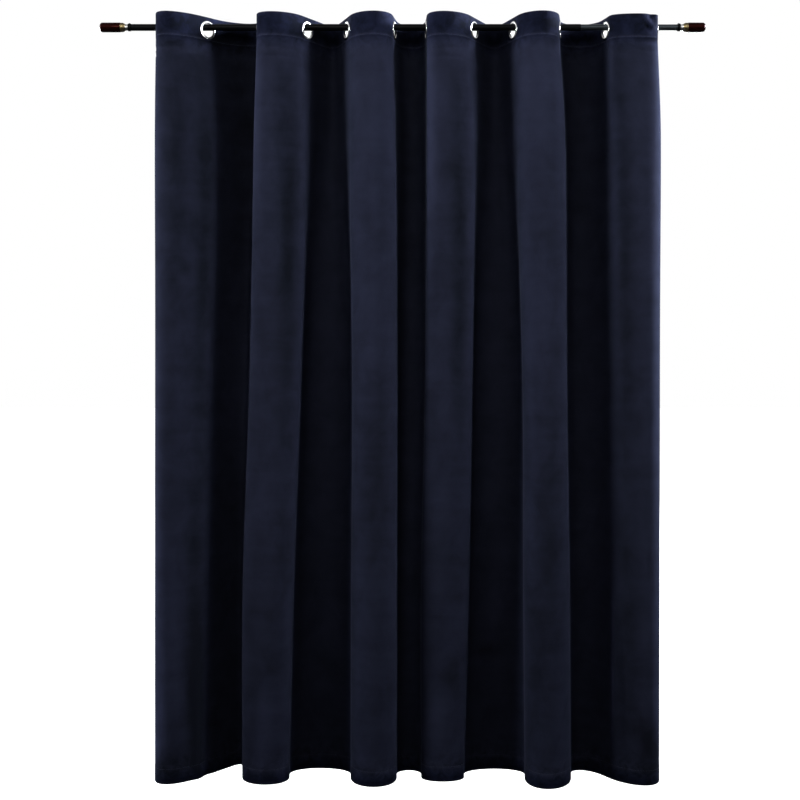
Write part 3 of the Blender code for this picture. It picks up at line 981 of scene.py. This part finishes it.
PILE_ROUGHNESS = (0.98, 0.80)
SEAM_SHADE_SATURATION = 1.5

# Level lines and bands by the seams, darker where the amount is above nought; an amount below nought takes
# that darkening away again. Just under the heading's seam is a line of painted shade, where its turned edge
# steps down to the single cloth; over the heading's stitches and at the hem's stitches are lines of painted
# highlight; and the broad band is darker across the heading and just below it.
Line = namedtuple("Line", "depth half_width amount")
SHADE_UNDER_SEAM = Line(HEADING_DEPTH + 0.004, 0.0080, 0.36)
HEADING_BAND = Line(HEADING_DEPTH - 0.040, 0.088, 0.50)
HIGHLIGHT_OVER_STITCHES = Line(HEADING_STITCH - 0.002, 0.0045, -0.42)
HEM_STITCH_HIGHLIGHT = Line(HEM_STITCH + 0.0005, 0.0068, -2.2)
# Painted shade, darker towards the bottom of the hem.
HEM_SHADE = 0.56
HEM_SHADE_FULL_AT = CLOTH_DROP - 0.012


def make_pile_group():
    """How the pile lies, and the light and shade painted on it: broad patches of tone and level crushed
    bands, small rumples at the heading and the hem, patches of painted light and shade on the folds, lines
    and bands by the seams, most of them painted shade and highlights, and the grain of the tufts."""
    group, per_metre = new_group("pile", "Grain Size", ["Tone_And_Painted_Light", "Seam_Light_And_Shade", "Grain"])
    cloth = add_node(group, "ShaderNodeAttribute", attribute_name="cloth").outputs["Vector"]
    depth = add_node(group, "ShaderNodeSeparateXYZ", {"Vector": cloth}).outputs["Y"]

    def near(place, half_width):
        """One at a depth of the cloth, falling to nought at that distance from it."""
        away = reckoned(group, "ABSOLUTE", reckoned(group, "SUBTRACT", depth, place))
        return ranged(group, away, 1.0, 0.0, end=half_width, interpolation_type="SMOOTHSTEP")

    def drawn(line):
        """A line or band by a seam, as an amount."""
        return reckoned(group, "MULTIPLY", near(line.depth, line.half_width), line.amount)

    patch_place = stretched(group, cloth, Scale=PATCHES_PER_METRE, Rotation=PATCHES_TURN)
    patches = noise(group, patch_place, Scale=1.0, Detail=5.0, Roughness=0.58, Distortion=0.4)
    band_place = stretched(group, cloth, Scale=BANDS_PER_METRE, Location=BANDS_SHIFT)
    bands = noise(group, band_place, Scale=1.0, Detail=3.0, Roughness=0.5, Distortion=0.3)
    rumples = noise(group, cloth, Scale=RUMPLES_PER_METRE, Detail=3.0, Roughness=0.6, Distortion=0.8)
    handled = reckoned(group, "SMOOTH_MAX", near(0.0, HANDLED_AT_TOP), near(CLOTH_DROP, HANDLED_AT_HEM),
                       HANDLED_BLEND)
    pattern = mixed(group, handled, mixed(group, BANDS_SHARE, patches, bands), rumples)
    contrasted = ranged(group, pattern, *PATTERN_TO, *PATTERN_FROM)
    unrest = ranged(group, handled, *UNREST_TO, *UNREST_FROM)
    # Painted light and shade from the listed patches is added to the pile's own tone.
    painted_light = add_node(group, "ShaderNodeAttribute", attribute_name="painted_light").outputs["Fac"]
    tone_and_painted_light = reckoned(group, "ADD", mixed(group, unrest, EVEN_TONE, contrasted), painted_light, use_clamp=True)
    # Painted shade and highlights by the seams: at the heading its lines and the darker band, at the hem the
    # shade towards its bottom and the highlight at its stitches.
    heading = reckoned(group, "ADD", reckoned(group, "MAXIMUM", drawn(SHADE_UNDER_SEAM), drawn(HEADING_BAND)),
                       drawn(HIGHLIGHT_OVER_STITCHES))
    hem = reckoned(group, "ADD", ranged(group, depth, 0.0, HEM_SHADE, HEM_STITCH, HEM_SHADE_FULL_AT),
                   drawn(HEM_STITCH_HIGHLIGHT))
    add_node(group, "NodeGroupOutput", {
        "Tone_And_Painted_Light": tone_and_painted_light,
        "Seam_Light_And_Shade": reckoned(group, "ADD", heading, hem),
        "Grain": noise(group, cloth, Scale=per_metre, Detail=1.0, Roughness=0.5),
    })
    return group


pile = make_pile_group()


def make_cloth_finish(name, dark, light, grain_size, grain_height, **sockets):
    """The front or the back of the cloth, in two tones of a colour."""
    finish, tree, shader = new_finish(name)
    lie = add_node(tree, "ShaderNodeGroup", {"Grain Size": grain_size}, node_tree=pile).outputs
    speckled = add_node(tree, "ShaderNodeHueSaturation", {
        "Color": blended(tree, lie["Tone_And_Painted_Light"], dark, light),
        "Value": ranged(tree, lie["Grain"], *GRAIN_TONES),
    })
    # The painted shade and highlights by the seams darken and deepen the colour, or take that away again.
    seam_shaded = add_node(tree, "ShaderNodeHueSaturation", {
        "Color": speckled.outputs["Color"],
        "Value": ranged(tree, lie["Seam_Light_And_Shade"], 1.0, 0.0),
        "Saturation": ranged(tree, lie["Seam_Light_And_Shade"], 1.0, SEAM_SHADE_SATURATION),
    })
    roughness = ranged(tree, lie["Tone_And_Painted_Light"], *PILE_ROUGHNESS)
    fill_shader(tree, shader, seam_shaded.outputs["Color"], roughness, lie["Grain"], GRAIN_STRENGTH,
                grain_height, sockets)
    return finish


velvet_pile = make_cloth_finish("velvet_pile", PILE_DARK, PILE_LIGHT, 0.0012, 0.0003,
                                Specular_IOR_Level=0.05, Sheen_Weight=0.08, Sheen_Roughness=0.30,
                                Sheen_Tint=(*BLOOM, 1))
velvet_ground = make_cloth_finish("velvet_ground", GROUND_DARK, GROUND_LIGHT, 0.0008, 0.0002,
                                  Specular_IOR_Level=0.15)
panel = make_panel([velvet_pile, velvet_ground])

# Where the cloth is turned over, its pile shows behind as well.
cloth_places = panel.data.attributes["cloth"].data
for face in panel.data.polygons:
    depth = sum(cloth_places[corner].vector.y for corner in face.vertices) / len(face.vertices)
    if depth < HEADING_DEPTH or depth > HEM_TOP:
        face.material_index = 0
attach(panel, "root")
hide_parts("velvet_panel")


# The heading and the hem are sewn down with navy thread, one row of lock stitches through each,
# which shows in front and behind.
STITCH_PITCH = 0.0048
STITCH_LONG = 0.0036
STITCH_WIDE = 0.0008
STITCH_THICK = 0.0007
SEAM_INSET = 0.006
SEAM_PATH_STEP = 0.003
THREAD_DARK = (0.026, 0.030, 0.058)
THREAD_LIGHT = (0.056, 0.064, 0.116)

navy_thread = make_hard_finish("navy_thread", THREAD_DARK, THREAD_LIGHT, 0.01, (0.5, 0.7), 0.0001,
                               Specular_IOR_Level=0.3)


def make_seam_path(name, depth):
    """A line along the cloth's middle at one depth, from just inside one edge to just inside the other."""
    plan = Plan(depth)
    steps = round((CLOTH_WIDTH - 2 * SEAM_INSET) / SEAM_PATH_STEP)
    line = bpy.data.curves.new(name, "CURVE")
    line.dimensions = "3D"
    line.twist_mode = "Z_UP"
    spline = line.splines.new("POLY")
    spline.points.add(steps)
    for i, point in enumerate(spline.points):
        along_cloth = SEAM_INSET + (CLOTH_WIDTH - 2 * SEAM_INSET) * i / steps
        point.co = (*cloth_place(plan, along_cloth, depth), 1)
    path = bpy.data.objects.new(name, line)
    bpy.context.scene.collection.objects.link(path)
    return path


def make_stitches(name, depth):
    """One stitch in front and one behind, repeated along the seam."""
    out = FOLDED_THICKNESS / 2 * STITCH_PULL
    bpy.ops.object.select_all(action="DESELECT")
    stitches = []
    for face_of_cloth in (-1, 1):
        bpy.ops.mesh.primitive_uv_sphere_add(segments=8, ring_count=4, radius=0.5,
                                             location=(STITCH_LONG / 2, face_of_cloth * out, 0),
                                             rotation=(0, math.pi / 2, 0),
                                             scale=(STITCH_WIDE, STITCH_THICK, STITCH_LONG))
        stitches.append(bpy.context.object)
    for stitch in stitches:
        stitch.select_set(True)
    bpy.ops.object.join()
    row = bpy.context.object
    row.name = name
    bpy.ops.object.transform_apply(location=True, rotation=True, scale=True)
    bpy.ops.object.shade_smooth()
    repeat = row.modifiers.new("repeat", "ARRAY")
    repeat.use_relative_offset = False
    repeat.use_constant_offset = True
    repeat.constant_offset_displace = (STITCH_PITCH, 0, 0)
    repeat.count = math.floor((CLOTH_WIDTH - 2 * SEAM_INSET) / STITCH_PITCH)
    follow = row.modifiers.new("follow the seam", "CURVE")
    path = make_seam_path(f"{name}_path", depth)
    follow.object = path
    bpy.context.view_layer.update()
    bpy.ops.object.modifier_apply(modifier=repeat.name)
    bpy.ops.object.modifier_apply(modifier=follow.name)
    bpy.data.objects.remove(path, do_unlink=True)
    row.data.materials.append(navy_thread)
    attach(row, "root")
    return row


heading_stitches = make_stitches("heading_stitches", HEADING_STITCH)
hem_stitches = make_stitches("hem_stitches", HEM_STITCH)


# The studio is plain: a pale floor just under the hem, soft lamps on a ring round the curtain, and a
# surround that the camera sees as white and the metals as a light band above level. The lamps at the
# sides rake the folds. Some have a grid that keeps their light near one height.
FLOOR_BELOW_HEM = 0.03
FLOOR_SIDE = 60
LAMP_DISTANCE = 8.0
LAMP_SIDE = 2.0
LAMP_RISE = math.radians(12)
COOL = (0.97, 1.00, 1.02)
BLUE = (0.92, 1.00, 1.18)
WARM = (1.00, 0.97, 0.84)
Lamp = namedtuple("Lamp", "name turn aim_height spread watts colour")
LAMPS = [
    Lamp("side_left", -72, -0.9, 180, 66, COOL),
    Lamp("side_right", 62, -0.9, 180, 92, COOL),
    Lamp("front", 0, -0.9, 180, 20, WARM),
    Lamp("high_left", -68, 0.2, 44, 36, COOL),
    Lamp("edge_left", -94, -1.9, 44, 28, BLUE),
    Lamp("high_right", 68, 0.2, 44, 34, COOL),
    Lamp("edge_right", 101, 0.5, 40, 185, BLUE),
    Lamp("high_front", -10, 0.2, 44, 8, WARM),
    Lamp("back_left", -145, -0.9, 180, 260, COOL),
    Lamp("back_right", 160, -0.9, 180, 260, COOL),
]
SURROUND_ON_CLOTH = 0.002
SURROUND_BAND = 0.35
BAND_FADES = (0.25, 0.65)
SURROUND_LOW = 0.05
FLOOR_PALE = (0.90, 0.90, 0.90)
FLOOR_PALER = (0.94, 0.94, 0.94)
FLOOR_GLOW = 0.97

floor_finish, tree, shader = new_finish("pale_floor")
ground_place = add_node(tree, "ShaderNodeTexCoord").outputs["Object"]
mottle = noise(tree, ground_place, Scale=1.5, Detail=2.0)
plug(tree, shader, {
    "Base Color": blended(tree, mottle, FLOOR_PALE, FLOOR_PALER),
    "Roughness": 0.9,
    "Emission Color": (1, 1, 1, 1),
    "Emission Strength": FLOOR_GLOW,
})
bpy.ops.object.select_all(action="DESELECT")
bpy.ops.mesh.primitive_plane_add(size=FLOOR_SIDE, location=(0, 0, cad_box[0].z - FLOOR_BELOW_HEM))
floor = bpy.context.object
floor.name = "studio_floor"
floor.data.materials.append(floor_finish)
floor.visible_diffuse = False
floor.visible_glossy = False

for lamp in LAMPS:
    aim = Vector((0, 0, lamp.aim_height))
    turn = math.radians(lamp.turn)
    level_towards = Vector((math.sin(turn), -math.cos(turn), 0)) * math.cos(LAMP_RISE)
    towards = level_towards + Vector((0, 0, math.sin(LAMP_RISE)))
    bpy.ops.object.light_add(type="AREA", location=aim + towards * LAMP_DISTANCE)
    light = bpy.context.object
    light.name = lamp.name
    light.data.shape = "SQUARE"
    light.data.size = LAMP_SIDE
    light.data.spread = math.radians(lamp.spread)
    light.data.energy = lamp.watts
    light.data.color = lamp.colour
    light.rotation_euler = (-towards).to_track_quat("-Z", "Y").to_euler()
    light.visible_camera = False

studio = bpy.data.worlds.new("white_surround")
studio.use_nodes = True
tree = studio.node_tree
rays = add_node(tree, "ShaderNodeLightPath").outputs
direction = add_node(tree, "ShaderNodeTexCoord").outputs["Generated"]
height = add_node(tree, "ShaderNodeSeparateXYZ", {"Vector": direction}).outputs["Z"]
off_band = reckoned(tree, "ABSOLUTE", reckoned(tree, "SUBTRACT", height, SURROUND_BAND))
band = ranged(tree, off_band, 1.0, SURROUND_LOW, *BAND_FADES, interpolation_type="SMOOTHSTEP")
seen = mixed(tree, rays["Is Camera Ray"], band, 1.0)
level = ranged(tree, rays["Is Diffuse Ray"], 1.0, SURROUND_ON_CLOTH)
strength = reckoned(tree, "MULTIPLY", seen, level)
plug(tree, tree.nodes["Background"], {"Color": (1, 1, 1, 1), "Strength": strength})
bpy.context.scene.world = studio
bpy.context.scene.view_settings.view_transform = "Standard"
bpy.context.scene.view_settings.look = "None"

bpy.context.view_layer.update()
